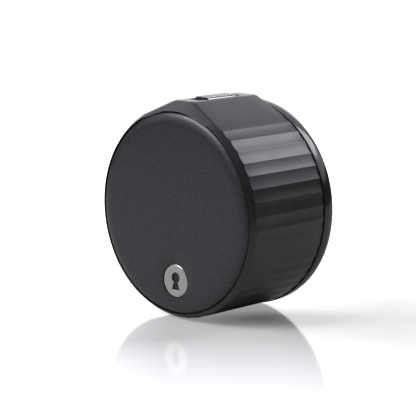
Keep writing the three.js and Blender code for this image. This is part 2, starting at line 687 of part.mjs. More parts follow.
add("battery_tray", batteryTray(), DARK_PLASTIC);
[-1, 1].forEach((side, i) => {
  const x = side * CELL_X;
  add(`battery_${i + 1}`, cell(x, side), CELL_WRAP);
  add(`contact_spring_${i + 1}`, contactSpring(x, -side), STEEL);
  add(`contact_plate_${i + 1}`, contactPlate(x, side), BRASS);
});
around(3, TRAY_SCREW_RADIUS, Math.PI / 2, (x, y, i) => add(`tray_screw_${i + 1}`, trayScrew(x, y), STEEL));
add("main_board", mainBoard(), BOARD_GREEN);
add("antenna_board", antennaBoard(), BOARD_GREEN);
add("speaker", speaker(), DARK_PLASTIC);
add("motor", motor(), STEEL);
add("setup_button", setupButton(), ACETAL);

add("faceplate", faceplate(), COVER_PAINT);
add("emblem", emblem(), EMBLEM_SILVER);
CATCH_ANGLES.forEach((angle, i) => {
  add(`catch_disc_${i + 1}`, atCatch(angle, MAGNET_SEAT_R, ...CATCH_DISC), STEEL);
  add(`cover_magnet_${i + 1}`, atCatch(angle, MAGNET_R, ...COVER_MAGNET), STEEL);
});
add("release_lever", releaseLever(), ANODISED);
add("lever_pin", leverPin(), STEEL);

// Turn the lock frame into the world: up becomes +Z and the front faces -Y.
lock.rotation.x = Math.PI / 2;
const model = new THREE.Group();
model.name = "round_smart_lock";
model.add(lock);

export default model;
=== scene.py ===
import math

import bmesh
import bpy
from mathutils import Matrix, Vector

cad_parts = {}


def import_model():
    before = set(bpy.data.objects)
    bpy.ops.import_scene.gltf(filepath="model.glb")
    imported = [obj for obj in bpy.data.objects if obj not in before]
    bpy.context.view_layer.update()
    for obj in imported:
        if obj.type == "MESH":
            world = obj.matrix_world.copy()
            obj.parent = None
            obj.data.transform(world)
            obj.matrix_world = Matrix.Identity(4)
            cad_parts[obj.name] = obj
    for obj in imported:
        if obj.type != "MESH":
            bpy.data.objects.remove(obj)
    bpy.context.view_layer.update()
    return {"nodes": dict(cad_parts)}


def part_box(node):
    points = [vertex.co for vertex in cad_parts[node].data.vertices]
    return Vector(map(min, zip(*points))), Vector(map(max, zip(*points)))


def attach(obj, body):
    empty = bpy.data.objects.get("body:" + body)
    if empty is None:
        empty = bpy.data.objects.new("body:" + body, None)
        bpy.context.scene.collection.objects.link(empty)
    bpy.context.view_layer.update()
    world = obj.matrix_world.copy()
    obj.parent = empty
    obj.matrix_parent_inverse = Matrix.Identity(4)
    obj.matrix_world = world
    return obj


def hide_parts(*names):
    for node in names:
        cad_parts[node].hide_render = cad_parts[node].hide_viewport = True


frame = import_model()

# Round smart lock. Sizes are in millimetres in the lock frame: x to the right, y up and z the distance
# from the door.

MM = 0.001
TAU = 2 * math.pi


def at(x, y, z):
    """A point of the lock frame as a point of the row frame, in metres."""
    return Vector((x, -z, y)) * MM


def corners(node):
    """A CAD node's lowest and highest corners in the lock frame."""
    low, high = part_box(node)
    return (
        Vector((low.x, low.z, -high.y)) / MM,
        Vector((high.x, high.z, -low.y)) / MM,
    )


def middle(node):
    """The middle of a CAD node's box in the lock frame."""
    low, high = corners(node)
    return (low + high) / 2


# ---- Sizes ----

GAP = 0.3  # clearance round a piece that sits in another

# the turning shell: its flutes, the roof of its ridge, its front bevel and the recess for the cover
SHELL_LOW, SHELL_HIGH = corners("outer_shell")
RIDGE_R = 34.9
FLUTES = 42
FLUTE_PITCH = math.radians(7.267)
FLUTE_DEPTH = 0.12
CREST_ROUND = 0.12
ROOF_Y = SHELL_HIGH.y
ROOF_HALF = 4.4
ROOF_ROUND = 0.9
LIP_R = 33.6
BEVEL_SLOPE = 1.5
FLUTE_CREASE = 0.2  # setbacks of the front crease, between the side and the bevel
RIDGE_CREASE = 1.1
RECESS_R = 33.5
RECESS_FLOOR = 38.5
LEDGE_R = 31.0
LEDGE_REAR = 36.8
LEDGE_ROOT = 35.4
INNER_R = 32.4

# the release lever, its slot in the roof and the finger notch in front of it
LEVER_LOW, LEVER_HIGH = corners("release_lever")
PIVOT = middle("lever_pin")
HEEL_R = LEVER_HIGH.y - PIVOT.y
HEEL_GAP = 0.2
SLOT_HALF = LEVER_HIGH.x + GAP
SLOT_REAR = LEVER_LOW.z - GAP
SLOT_FRONT = LEVER_HIGH.z + GAP
SLOT_FLOOR = PIVOT.y - HEEL_R - HEEL_GAP
NOTCH_HALF = SLOT_HALF - 0.6
NOTCH_FRONT = LEVER_HIGH.z + 3.4
NOTCH_RAMP = 2.9
NOTCH_FLOOR = 35.0

# the cover, its rim and its emblem
COVER_LOW, COVER_HIGH = corners("faceplate")
RIM_WIDTH = 4.6
RIM_FALL = 1.75
RIM_CURVE = 2.2  # a higher power turns the rim down later
RIM_STEPS = 18
EMBLEM = middle("emblem")
EMBLEM_R = (corners("emblem")[1].x - corners("emblem")[0].x) / 2


# ---- Mesh building ----


def skin(rows, closed=False):
    """A mesh over rings of points. With closed, the last ring joins the first."""
    bm = bmesh.new()
    rings = [[bm.verts.new(point) for point in row] for row in rows]
    if closed:
        rings.append(rings[0])
    for one, two in zip(rings, rings[1:]):
        for i in range(len(one)):
            j = (i + 1) % len(one)
            bm.faces.new((one[i], one[j], two[j], two[i]))
    bmesh.ops.remove_doubles(bm, verts=bm.verts, dist=1e-7)
    bmesh.ops.recalc_face_normals(bm, faces=bm.faces)
    return bm


def rounded(path, closed=False, steps=4):
    """A path of (a, b, setback) corners, each turned into a curve that starts and ends at its setback."""
    points = []
    for i, (a, b, setback) in enumerate(path):
        here = Vector((a, b))
        if not setback or not closed and i in (0, len(path) - 1):
            points.append(here)
            continue
        back = Vector(path[i - 1][:2]) - here
        ahead = Vector(path[(i + 1) % len(path)][:2]) - here
        start = here + back.normalized() * min(setback, back.length / 2)
        end = here + ahead.normalized() * min(setback, ahead.length / 2)
        for k in range(steps + 1):
            t = k / steps
            points.append(start * (1 - t) ** 2 + here * 2 * t * (1 - t) + end * t * t)
    return points


def circle(radius, count, x=0, y=0):
    """Points round a circle, from its right side on."""
    turn = TAU / count
    return [(x + radius * math.cos(i * turn), y + radius * math.sin(i * turn)) for i in range(count)]


def polar(radius, angle):
    return Vector((radius * math.cos(angle), radius * math.sin(angle)))


def between_outlines(inner, outer, share):
    """An outline a share of the way from one outline to another that has as many points."""
    return [(a + (c - a) * share, b + (d - b) * share) for (a, b), (c, d) in zip(inner, outer)]


def lathe(profile, facets, x=0, y=0, closed=False):
    """A profile of (radius, z, setback) corners, turned about a line along z."""
    rows = [[at(px, py, z) for px, py in circle(r, facets, x, y)] for r, z in rounded(profile, closed)]
    return skin(rows, closed)


def lathe_across(centre, profile, facets):
    """A profile of (radius, distance, setback) corners, turned about a line along x through a point."""
    rows = []
    for radius, along in rounded(profile):
        rows.append([at(*(centre + Vector((along, a, b)))) for a, b in circle(radius, facets)])
    return skin(rows)


def plate(outlines, rear, front):
    """A flat piece between two distances from the door: its edge, then the outlines of its holes."""
    bm = bmesh.new()
    for outline in outlines:
        verts = [bm.verts.new(at(x, y, rear)) for x, y in outline]
        for i, vert in enumerate(verts):
            bm.edges.new((vert, verts[(i + 1) % len(verts)]))
    bmesh.ops.triangle_fill(bm, use_beauty=True, edges=bm.edges)
    made = bmesh.ops.extrude_face_region(bm, geom=bm.faces[:])
    top = [v for v in made["geom"] if isinstance(v, bmesh.types.BMVert)]
    bmesh.ops.translate(bm, vec=at(0, 0, front) - at(0, 0, rear), verts=top)
    bmesh.ops.recalc_face_normals(bm, faces=bm.faces)
    return bm


def piece(name, bm, body, look, stands_for=(), bevel=0.0, sharp=35):
    """A finished piece that rides on a CAD body. Its bevel is a width in millimetres."""
    mesh = bpy.data.meshes.new(name)
    bm.to_mesh(mesh)
    bm.free()
    mesh.shade_smooth()
    mesh.set_sharp_from_angle(angle=math.radians(sharp))
    mesh.materials.append(look)
    obj = bpy.data.objects.new(name, mesh)
    bpy.context.scene.collection.objects.link(obj)
    if bevel:
        edge = obj.modifiers.new("edge", "BEVEL")
        edge.width = bevel * MM
        edge.segments = 2
        edge.limit_method = "ANGLE"
        edge.angle_limit = math.radians(sharp)
        edge.use_clamp_overlap = True
        shade = obj.modifiers.new("shade", "WEIGHTED_NORMAL")
        shade.keep_sharp = False
    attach(obj, body)
    if stands_for:
        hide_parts(*stands_for)
    return obj


# ---- Materials ----


class Nodes:
    """A new material's nodes. Values that are the same all over go on the shader's own sockets."""

    def __init__(self, name, **values):
        self.material = bpy.data.materials.new(name)
        self.material.use_nodes = True
        self.tree = self.material.node_tree
        self.shader = self.tree.nodes["Principled BSDF"]
        for socket, value in values.items():
            self.shader.inputs[socket.replace("_", " ")].default_value = value
        self.place = self.tree.nodes.new("ShaderNodeTexCoord").outputs["Object"]

    def add(self, kind, inputs=(), **settings):
        node = self.tree.nodes.new(kind)
        for key, value in settings.items():
            setattr(node, key, value)
        for socket, value in dict(inputs).items():
            if isinstance(value, bpy.types.NodeSocket):
                self.tree.links.new(value, node.inputs[socket])
            else:
                node.inputs[socket].default_value = value
        return node

    def stretched(self, x=1.0, y=1.0, z=1.0):
        """The place on the piece, with its axes scaled."""
        return self.add("ShaderNodeMapping", {"Vector": self.place, "Scale": (x, y, z)}).outputs["Vector"]

    def noise(self, size, detail=2.0, place=None):
        """A noise whose grains are about `size` millimetres across."""
        inputs = {"Vector": place or self.place, "Scale": 1 / (size * MM), "Detail": detail, "Roughness": 0.6}
        return self.add("ShaderNodeTexNoise", inputs).outputs["Fac"]

    def between(self, factor, low, high, start=0.3, end=0.7):
        """A number that goes from low to high as the factor goes from start to end."""
        inputs = {"Value": factor, "From Min": start, "From Max": end, "To Min": low, "To Max": high}
        return self.add("ShaderNodeMapRange", inputs).outputs["Result"]

    def colours(self, factor, *stops):
        """A colour ramp through (position, linear colour) stops."""
        ramp = self.add("ShaderNodeValToRGB", {"Fac": factor})
        elements = ramp.color_ramp.elements
        while len(elements) < len(stops):
            elements.new(0.5)
        for element, (position, colour) in zip(elements, stops):
            element.position = position
            element.color = (*colour, 1)
        return ramp.outputs["Color"]

    def sum(self, *values):
        total = values[0]
        for value in values[1:]:
            total = self.add("ShaderNodeMath", {0: total, 1: value}, operation="ADD").outputs[0]
        return total

    def times(self, one, two):
        return self.add("ShaderNodeMath", {0: one, 1: two}, operation="MULTIPLY").outputs[0]

    def mix(self, one, two, share):
        """A share of one number and the rest of the other."""
        return self.sum(self.times(one, share), self.times(two, 1 - share))

    def bump(self, height, depth, strength):
        """A relief `depth` millimetres deep."""
        inputs = {"Height": height, "Distance": depth * MM, "Strength": strength}
        normal = self.add("ShaderNodeBump", inputs).outputs["Normal"]
        self.tree.links.new(normal, self.shader.inputs["Normal"])

    def drive(self, socket, value):
        self.tree.links.new(value, self.shader.inputs[socket])


def grey(value, blue=0.0, red=0.0):
    """A grey as a linear colour, with more or less blue and red than green by a share."""
    return (value * (1 + red), value, value * (1 + blue))


def anodised(name, smooth, rough):
    """Satin dark metal: fine blasted grain, faint cloudy variation."""
    n = Nodes(name, Metallic=0.4, IOR=1.5, Specular_Tint=(*grey(0.93, 0.07, -0.015), 1))
    grain = n.noise(0.16, 1.0)
    cloud = n.noise(9.0, 3.0)
    cool = {"blue": 0.12, "red": -0.02}
    tone = n.mix(grain, cloud, 0.5)
    n.drive("Base Color", n.colours(tone, (0.3, grey(0.034, **cool)), (0.7, grey(0.052, **cool))))
    n.drive("Roughness", n.between(n.mix(grain, cloud, 0.6), smooth, rough))
    n.bump(grain, 0.006, 0.5)
    return n.material


def cover_paint():
    """Powder-coated cover: matte, with a fine pebbled grain."""
    n = Nodes("cover_paint_dark", Metallic=0.15, IOR=1.5, Specular_Tint=(*grey(0.93, 0.07), 1))
    grain = n.noise(0.4, 2.0)
    cloud = n.noise(14.0, 2.0)
    cool = {"blue": 0.17, "red": 0.04}
    n.drive("Base Color", n.colours(grain, (0.32, grey(0.013, **cool)), (0.68, grey(0.042, **cool))))
    n.drive("Roughness", n.between(n.mix(grain, cloud, 0.5), 0.30, 0.38))
    n.bump(grain, 0.05, 0.7)
    return n.material


def brushed(name, low, high, roughness, size, stretch, tint=0.0):
    """Metal with fine lines along the axis that its grain is stretched on."""
    n = Nodes(name, Metallic=1.0)
    lines = n.noise(size, 2.0, n.stretched(*[1 / s for s in stretch]))
    cloud = n.noise(6.0, 2.0)
    tone = n.mix(lines, cloud, 0.6)
    n.drive("Base Color", n.colours(tone, (0.3, grey(low, tint)), (0.7, grey(high, tint))))
    n.drive("Roughness", n.between(lines, roughness - 0.06, roughness + 0.08))
    n.bump(lines, 0.004, 0.4)
    return n.material


def plastic(name, low, high, roughness, size=0.25, relief=0.012):
    """Moulded plastic with a fine spark-eroded texture."""
    n = Nodes(name, IOR=1.48)
    grain = n.noise(size, 2.0)
    cloud = n.noise(8.0, 2.0)
    tone = n.mix(grain, cloud, 0.5)
    n.drive("Base Color", n.colours(tone, (0.3, low), (0.7, high)))
    n.drive("Roughness", n.between(grain, roughness - 0.05, roughness + 0.07))
    n.bump(grain, relief, 0.6)
    return n.material


def circuit_board():
    """Green solder mask over copper tracks, which show as a lighter pattern between dark cells."""
    n = Nodes("circuit_board_green", IOR=1.5)
    inputs = {
        "Vector": n.stretched(1, 0, 1),
        "Scale": 400.0,
        "Mortar Size": 0.03,
        "Color1": (*grey(0), 1),
        "Color2": (*grey(0.25), 1),
        "Mortar": (*grey(1), 1),
    }
    cells = n.add("ShaderNodeTexBrick", inputs).outputs["Color"]
    n.drive("Base Color", n.colours(cells, (0.1, (0.006, 0.045, 0.022)), (0.9, (0.02, 0.12, 0.06))))
    n.drive("Roughness", n.between(n.noise(0.6), 0.28, 0.4))
    n.bump(cells, 0.02, 0.5)
    return n.material


LOOKS = {
    "anodised": anodised("anodised_dark", 0.30, 0.40),
    "ring": anodised("anodised_ring_dark", 0.14, 0.20),
    "cover": cover_paint(),
    "emblem": brushed("emblem_satin_silver", 0.42, 0.53, 0.36, 0.10, (14, 1, 1)),
    "inlay": plastic("emblem_inlay_dark", grey(0.006), grey(0.012), 0.45),
    "polished": brushed("polished_edge", 0.2, 0.26, 0.22, 0.2, (1, 12, 1)),
    "steel": brushed("steel_brushed", 0.42, 0.56, 0.32, 0.15, (16, 1, 1)),
    "brass": brushed("brass_turned", 0.40, 0.5, 0.3, 0.12, (1, 10, 1), -0.35),
    "magnet": brushed("magnet_nickel", 0.5, 0.62, 0.18, 0.3, (1, 1, 1)),
    "acetal": plastic("acetal_natural", grey(0.62, -0.03), grey(0.74, -0.03), 0.42),
    "plastic": plastic("plastic_black", grey(0.009), grey(0.017), 0.5),
    "board": circuit_board(),
    "wrap": plastic("cell_wrap_blue", (0.012, 0.05, 0.16), (0.018, 0.07, 0.2), 0.3, 0.6, 0.004),
}


# ---- Turning body ----


def fluted_side():
    """The outline from the roof's left corner down the left, round the bottom and up to its right corner."""
    first = -math.pi / 2 - FLUTES * FLUTE_PITCH / 2
    half = RIDGE_R * math.sin(FLUTE_PITCH / 2)
    chord = RIDGE_R * math.cos(FLUTE_PITCH / 2)
    path = [(-ROOF_HALF, ROOF_Y, ROOF_ROUND)]
    for k in range(FLUTES):
        path.append((*polar(RIDGE_R, first + k * FLUTE_PITCH), CREST_ROUND))
        centre = first + (k + 0.5) * FLUTE_PITCH
        sideways = Vector((-math.sin(centre), math.cos(centre)))
        for step in range(-4, 5):
            share = step * 0.2
            hollow = polar(chord - FLUTE_DEPTH * (1 - share * share), centre)
            path.append((*(hollow + sideways * share * half), 0))
    path.append((*polar(RIDGE_R, first + FLUTES * FLUTE_PITCH), CREST_ROUND))
    path.append((ROOF_HALF, ROOF_Y, ROOF_ROUND))
    return rounded(path, closed=True, steps=3)


def shell_column(x, y, slot=False, notch=False):
    """One closed slice through the shell wall. With slot or notch, its roof is cut down to that floor."""
    radius = math.hypot(x, y)
    front = SHELL_HIGH.z - (radius - LIP_R) * BEVEL_SLOPE
    rear = SHELL_LOW.z
    # the ridge stands further out than the flutes, and its crease stays crisp in line with the slot
    on_ridge = radius > RIDGE_R + 0.25 and abs(x) > SLOT_HALF
    steps = 3
    section = rounded(
        [
            (radius, rear, 0.06),
            (radius, front, RIDGE_CREASE if on_ridge else FLUTE_CREASE),
            (LIP_R, SHELL_HIGH.z, 0.04),
            (RECESS_R, SHELL_HIGH.z, 0.03),
            (RECESS_R, RECESS_FLOOR, 0),
            (LEDGE_R, RECESS_FLOOR, 0.1),
            (LEDGE_R, LEDGE_REAR, 0),
            (INNER_R, LEDGE_ROOT, 0),
            (INNER_R, rear, 0.15),
        ],
        closed=True,
        steps=steps,
    )
    floor = SLOT_FLOOR if slot or notch else y
    scoop = NOTCH_FLOOR if notch else y
    stations = [
        (SLOT_REAR, y),
        (SLOT_REAR, floor),
        (SLOT_FRONT, floor),
        (SLOT_FRONT, scoop),
        (NOTCH_FRONT - NOTCH_RAMP, scoop),
        (NOTCH_FRONT, y),
    ]
    outer = [at(x, level, z) for z, level in stations]
    points = [at(x * r / radius, y * r / radius, z) for r, z in section]
    # the stations go between the rear corner, which has steps + 1 points, and the front crease
    return points[:steps + 1] + outer + points[steps + 1:]


def shell():
    """The fluted side, closed over the roof by columns that step through the lever's slot and the notch."""
    columns = [shell_column(*point) for point in fluted_side()]
    edge = [
        (SLOT_HALF, False, False),
        (SLOT_HALF, True, False),
        (NOTCH_HALF, True, False),
        (NOTCH_HALF, True, True),
        (NOTCH_HALF / 2, True, True),
        (0, True, True),
    ]
    mirrored = [(-x, slot, notch) for x, slot, notch in reversed(edge[:-1])]
    columns += [shell_column(x, ROOF_Y, slot, notch) for x, slot, notch in edge + mirrored]
    piece("turning_shell", skin(columns, True), "rotor", LOOKS["anodised"], ["outer_shell"])


def coupler():
    """The socket for the deadbolt's flat tailpiece, with a groove for its clip."""
    low, high = corners("tail_coupler")
    half_x, half_y = 4.7, 2.7
    bottom = high.z - 1.2
    neck, flange = 7.1, high.x
    groove, groove_rear, groove_front = 6.4, 1.2, 2.3
    flange_rear, flange_front = 6.4, 8.4
    count = 96

    def socket(grow):
        """A rectangle with a point for each direction of the round rows."""
        ring = []
        for a, b in circle(1, count):
            reach = min((half_x + grow) / max(abs(a), 1e-9), (half_y + grow) / max(abs(b), 1e-9))
            ring.append((a * reach, b * reach))
        return ring

    rows = [[at(0, 0, bottom)] * count]
    for grow, z in ((0, bottom), (0, low.z + 0.4), (0.35, low.z)):
        rows.append([at(x, y, z) for x, y in socket(grow)])
    profile = [
        (neck - 0.5, low.z, 0),
        (neck - 0.3, low.z, 0),
        (neck, low.z + 0.3, 0.1),
        (neck, groove_rear, 0.05),
        (groove, groove_rear, 0.05),
        (groove, groove_front, 0.05),
        (neck, groove_front, 0.05),
        (neck, flange_rear, 0),
        (flange, flange_rear, 0.2),
        (flange, flange_front, 0.2),
        (neck, flange_front, 0),
        (neck, high.z, 0.3),
        (0, high.z, 0),
    ]
    for radius, z in rounded(profile):
        rows.append([at(x, y, z) for x, y in circle(radius, count)])
    piece("tail_socket", skin(rows), "rotor", LOOKS["acetal"], ["tail_coupler"])


def clip():
    """The open ring that holds the coupler."""
    low, high = corners("coupler_clip")
    inner, outer, half_opening = 6.7, 8.9, 1.6
    opening = math.asin(half_opening / inner)
    start = -math.pi / 2 + opening
    span = TAU - 2 * opening
    count = 72
    arc = [start + span * i / count for i in range(count + 1)]
    outline = [(outer * math.cos(a), outer * math.sin(a)) for a in arc]
    outline += [(inner * math.cos(a), inner * math.sin(a)) for a in reversed(arc)]
    bm = plate([outline], low.z, high.z)
    piece("socket_clip", bm, "rotor", LOOKS["steel"], ["coupler_clip"], bevel=0.12)


# ---- Fixed base ----


def base_ring():
    """The fixed ring at the door, with two steps in its bore."""
    high = corners("base_ring")[1]
    outer, front = high.x, high.z
    bore, step, mouth = 30.9, 31.9, 33.2
    step_rear, mouth_rear = 2.7, 4.9
    profile = [
        (bore, 0, 0.15),
        (outer - 1.2, 0, 0.3),
        (outer - 0.4, 1.0, 0.5),
        (outer, 2.6, 0.8),
        (outer, front, 0.12),
        (mouth, front, 0.1),
        (mouth, mouth_rear, 0),
        (step, mouth_rear, 0),
        (step, step_rear, 0),
        (bore, step_rear, 0.1),
    ]
    bm = lathe(profile, 256, closed=True)
    piece("door_ring", bm, "base", LOOKS["ring"], ["base_ring"])


def slot_outline(x, reach, radius):
    """A slot along x with round ends, whose centres are a reach to each side of its middle."""
    points = []
    for end in (1, -1):
        for i in range(-8, 9):
            angle = end * i * math.pi / 16
            points.append((x + end * (reach + radius * math.cos(angle)), radius * math.sin(angle)))
    return points


def mounting_plate():
    """The plate on the door: three round notches in its edge, a hole in its middle and two screw slots."""
    low, high = corners("mounting_plate")
    radius, notch, hole = high.x, 3.0, 9.6
    swing = 2 * math.asin(notch / 2 / radius)
    outline = []
    for turn in range(3):
        centre = math.pi / 2 + turn * TAU / 3
        spot = polar(radius, centre)
        reach = [math.pi / 2 + math.pi * i / 16 for i in range(1, 16)]
        outline += [tuple(spot + polar(notch, centre + angle)) for angle in reversed(reach)]
        arc = [centre + swing + (TAU / 3 - 2 * swing) * i / 48 for i in range(49)]
        outline += [tuple(polar(radius, a)) for a in arc]
    slots = [slot_outline(x, 2.0, 2.5) for x in (-20, 20)]
    bm = plate([outline, circle(hole, 96), *slots], low.z, high.z)
    piece("door_plate", bm, "base", LOOKS["steel"], ["mounting_plate"], bevel=0.18)


def base_inside():
    """The plate inside the base ring, with a hole for the hub and three for screws, and the hub's bearing."""
    low, high = corners("base_plate")
    edge, hub, screw, screw_ring = 31.6, 9.0, 0.95, 28.7
    holes = [circle(screw, 16, *polar(screw_ring, math.pi / 6 + i * TAU / 3)) for i in range(3)]
    bm = plate([circle(edge, 144), circle(hub, 96), *holes], low.z, high.z)
    piece("inner_plate", bm, "base", LOOKS["plastic"], ["base_plate"], bevel=0.15)
    low, high = corners("hub_bushing")
    bore, outer, soft = 7.4, 8.7, 0.2
    profile = [(bore, low.z, soft), (outer, low.z, soft), (outer, high.z, soft), (bore, high.z, soft)]
    piece("hub_bearing", lathe(profile, 96, closed=True), "base", LOOKS["brass"], ["hub_bushing"])


# ---- Cover ----


def cover():
    """A round cover with a level middle, a rim that falls away gently and a seat for the emblem."""
    rim = COVER_HIGH.x
    front, rear = COVER_HIGH.z, COVER_LOW.z
    level = rim - RIM_WIDTH
    seat = EMBLEM_R + GAP
    brim = seat + 0.18
    floor = front - 0.9
    spot = (EMBLEM.x, EMBLEM.y)
    count = 256
    rows = [[at(*spot, floor)] * count]
    seat_rows = (
        (seat * 0.5, floor),
        (seat, floor),
        (seat, front - 0.18),
        (seat + 0.05, front - 0.06),
        (brim, front),
    )
    for radius, z in seat_rows:
        rows.append([at(x, y, z) for x, y in circle(radius, count, *spot)])
    inner, outer = circle(brim, count, *spot), circle(level, count)
    for step in range(1, 8):
        rows.append([at(x, y, front) for x, y in between_outlines(inner, outer, step / 8)])
    for step in range(RIM_STEPS + 1):
        share = math.sin(step / RIM_STEPS * math.pi / 2)
        fall = RIM_FALL * (1 - math.sqrt(1 - share ** RIM_CURVE))
        rows.append([at(x, y, front - fall) for x, y in circle(level + RIM_WIDTH * share, count)])
    back_rows = ((rim, rear + 0.12), (rim - 0.12, rear), (rim - 2.5, rear), (0, rear))
    for radius, z in back_rows:
        rows.append([at(x, y, z) for x, y in circle(radius, count)])
    piece("round_cover", skin(rows), "cover", LOOKS["cover"], ["faceplate"])


def keyhole(grow, count):
    """The outline of a plain keyhole, with a point for each direction of a circle."""
    rise, bow = 1.05, 1.75 + grow  # the round part: its centre's height and its radius
    foot, waist, splay = 3.1 + grow, 0.75 + grow, 0.32  # the leg: its depth, half width and slant
    ring = []
    for a, b in circle(1, count):
        reach = 0.0
        inside = (b * rise) ** 2 - rise * rise + bow * bow
        if inside > 0:
            reach = b * rise + math.sqrt(inside)
        if b < 0:
            low = foot / -b
            side = waist / max(abs(a) + b * splay, 1e-9)
            reach = max(reach, min(low, side))
        ring.append((a * reach, b * reach))
    return ring


def emblem():
    """A satin disc with a plain keyhole cut through it, over a dark inlay."""
    low, high = corners("emblem")
    count = 96
    lip_width, edge_width = 0.08, 0.15
    inlay_front = low.z + 0.1
    spot = Vector((EMBLEM.x, EMBLEM.y))
    hole = [(spot.x + x, spot.y + y) for x, y in keyhole(0.0, count)]
    lip = [(spot.x + x, spot.y + y) for x, y in keyhole(lip_width, count)]
    edge = circle(EMBLEM_R - edge_width, count, *spot)
    side = circle(EMBLEM_R, count, *spot)
    rows = [
        (hole, inlay_front),
        (hole, high.z - lip_width),
        (lip, high.z),
        (between_outlines(lip, edge, 0.25), high.z),
        (between_outlines(lip, edge, 0.5), high.z),
        (between_outlines(lip, edge, 0.75), high.z),
        (edge, high.z),
        (side, high.z - edge_width),
        (side, inlay_front),
        (hole, inlay_front),
    ]
    bm = skin([[at(x, y, z) for x, y in ring] for ring, z in rows])
    piece("emblem_disc", bm, "cover", LOOKS["emblem"], ["emblem"])
    radius = EMBLEM_R - 0.1
    profile = [(0, low.z, 0), (radius, low.z, 0.05), (radius, inlay_front, 0), (0, inlay_front, 0)]
    piece("emblem_inlay", lathe(profile, 96, *spot), "cover", LOOKS["inlay"])


def magnets():
    """The four magnets on the cover, and the steel discs in the tray that they hold on to."""
    for i in range(1, 5):
        for node, body, look, name in (
            (f"cover_magnet_{i}", "cover", LOOKS["magnet"], f"round_magnet_{i}"),
            (f"catch_disc_{i}", "rotor", LOOKS["steel"], f"steel_disc_{i}"),
        ):
            low, high = corners(node)
            spot = (low + high) / 2
            radius = (high.x - low.x) / 2
            profile = [(0, low.z, 0), (radius, low.z, 0.2), (radius, high.z, 0.2), (0, high.z, 0)]
            piece(name, lathe(profile, 64, spot.x, spot.y), body, look, [node])


# ---- Lever ----


def lever():
    """The release lever: a flat arm with a round heel, polished chamfers and a raised top."""
    half, top, tip = LEVER_HIGH.x, LEVER_HIGH.y, LEVER_HIGH.z
    nose, belly = 35.9, 34.6  # heights of the underside, at the tip and along the arm
    inward = 1.6
    heel = []
    for i in range(17):
        turn = i * math.pi / 16
        heel.append((PIVOT.z - HEEL_R * math.sin(turn), PIVOT.y + HEEL_R * math.cos(turn)))
    side = [(tip, top), (tip, nose), (tip - inward, nose), (tip - inward, belly), (PIVOT.z + inward, belly)]
    outline = heel[::-1] + side

    def ring(x, inset):
        """The side outline at a distance from the middle plane, drawn in from the edge by an inset."""
        points = []
        for z, y in outline:
            z = min(z, tip - inset)
            away = Vector((z - PIVOT.z, y - PIVOT.y))
            if z < PIVOT.z and away.length > HEEL_R - inset:
                away = away.normalized() * (HEEL_R - inset)
                z, y = PIVOT.z + away.x, PIVOT.y + away.y
            points.append(at(x, min(y, top - inset), z))
        return points

    chamfer = 0.28
    steps = [(half, 0.66), (half - chamfer, 0.38), (half - chamfer, 0.06), (half - 0.34, 0.0)]
    stations = [(-x, inset) for x, inset in steps] + steps[::-1]
    rows = [ring(*station) for station in stations]
    bm = skin(rows)
    # skin leaves the two flat sides open
    for row in (rows[0], rows[-1]):
        ends = [min(bm.verts, key=lambda v: (v.co - point).length) for point in row]
        bm.faces.new(list(dict.fromkeys(ends)))
    bmesh.ops.recalc_face_normals(bm, faces=bm.faces)
    lean = 0.4
    for face in bm.faces:
        slanted = abs(face.normal.z) > lean and abs(face.normal.x) > lean
        face.material_index = 1 if slanted else 0
    look = LOOKS["anodised"]
    obj = piece("latch_lever", bm, "release_lever", look, ["release_lever"], sharp=25)
    obj.data.materials.append(LOOKS["polished"])


def lever_pin():
    """The pin that the lever turns on."""
    low, high = corners("lever_pin")
    radius = (high.y - low.y) / 2
    profile = [(0, low.x, 0), (radius, low.x, 0.15), (radius, high.x, 0.15), (0, high.x, 0)]
    bm = lathe_across(Vector((0, PIVOT.y, PIVOT.z)), profile, 32)
    piece("latch_pin", bm, "rotor", LOOKS["steel"], ["lever_pin"])


# ---- Carried-over CAD nodes ----

CARRIED = {
    "steel": [
        "base_screw_1", "base_screw_2", "base_screw_3",
        "shell_screw_1", "shell_screw_2", "shell_screw_3",
        "gearbox_plate", "first_gear_shaft", "second_gear_shaft",
        "contact_spring_1", "contact_spring_2",
        "tray_screw_1", "tray_screw_2", "tray_screw_3",
        "motor",
    ],
    "brass": [
        "plate_post_1", "plate_post_2", "plate_post_3",
        "contact_plate_1", "contact_plate_2",
        "motor_pinion",
    ],
    "acetal": ["ring_gear", "glide_ring", "first_gear", "second_gear", "setup_button"],
    "plastic": ["chassis", "battery_tray", "speaker"],
    "board": ["main_board", "antenna_board"],
    "wrap": ["battery_1", "battery_2"],
}


def dress_carried_nodes():
    """The CAD nodes whose shape stays get a better material."""
    for look, nodes in CARRIED.items():
        for node in nodes:
            mesh = frame["nodes"][node].data
            mesh.materials.clear()
            mesh.materials.append(LOOKS[look])


# ---- Studio ----

CAMERA_TURN, CAMERA_RISE = math.radians(44.05), math.radians(10.26)
FOCAL_PIXELS = 1844.8
FRAME_PIXELS = 416
UNIT = 33.2  # millimetres to one unit of the camera's distances
CAMERA_RIGHT, CAMERA_UP, CAMERA_BACK = 0.331, 0.055, 18.107

BACKDROP_R = 2.5  # metres
BACKDROP_GLOW = 1.05
WORLD_GLOW = 0.04

# the lights stand at a distance in metres from a point on the axis, in millimetres from the door
LIGHT_DISTANCE = 1.0
LIGHT_AIM = 20

# name: azimuth and elevation in degrees, width and height in metres, radiance
LIGHTS = {
    "rear_key": (158, 42, 0.4, 0.4, 7.2),
    "rear_low": (154, 26, 0.7, 0.4, 1.5),
    "rear_left": (206, 36, 0.7, 0.6, 0.95),
    "left_high": (268, 49, 0.8, 0.6, 1.15),
    "front_high": (328, 46, 0.6, 0.4, 11),
    "front_low": (330, 25, 1.1, 0.46, 1.3),
    "top": (290, 74, 0.4, 0.4, 1.1),
    "behind": (224, 9, 0.8, 0.45, 1.75),
}

FLOOR_LEVEL = -corners("base_ring")[1].x
FLOOR_REACH = 450

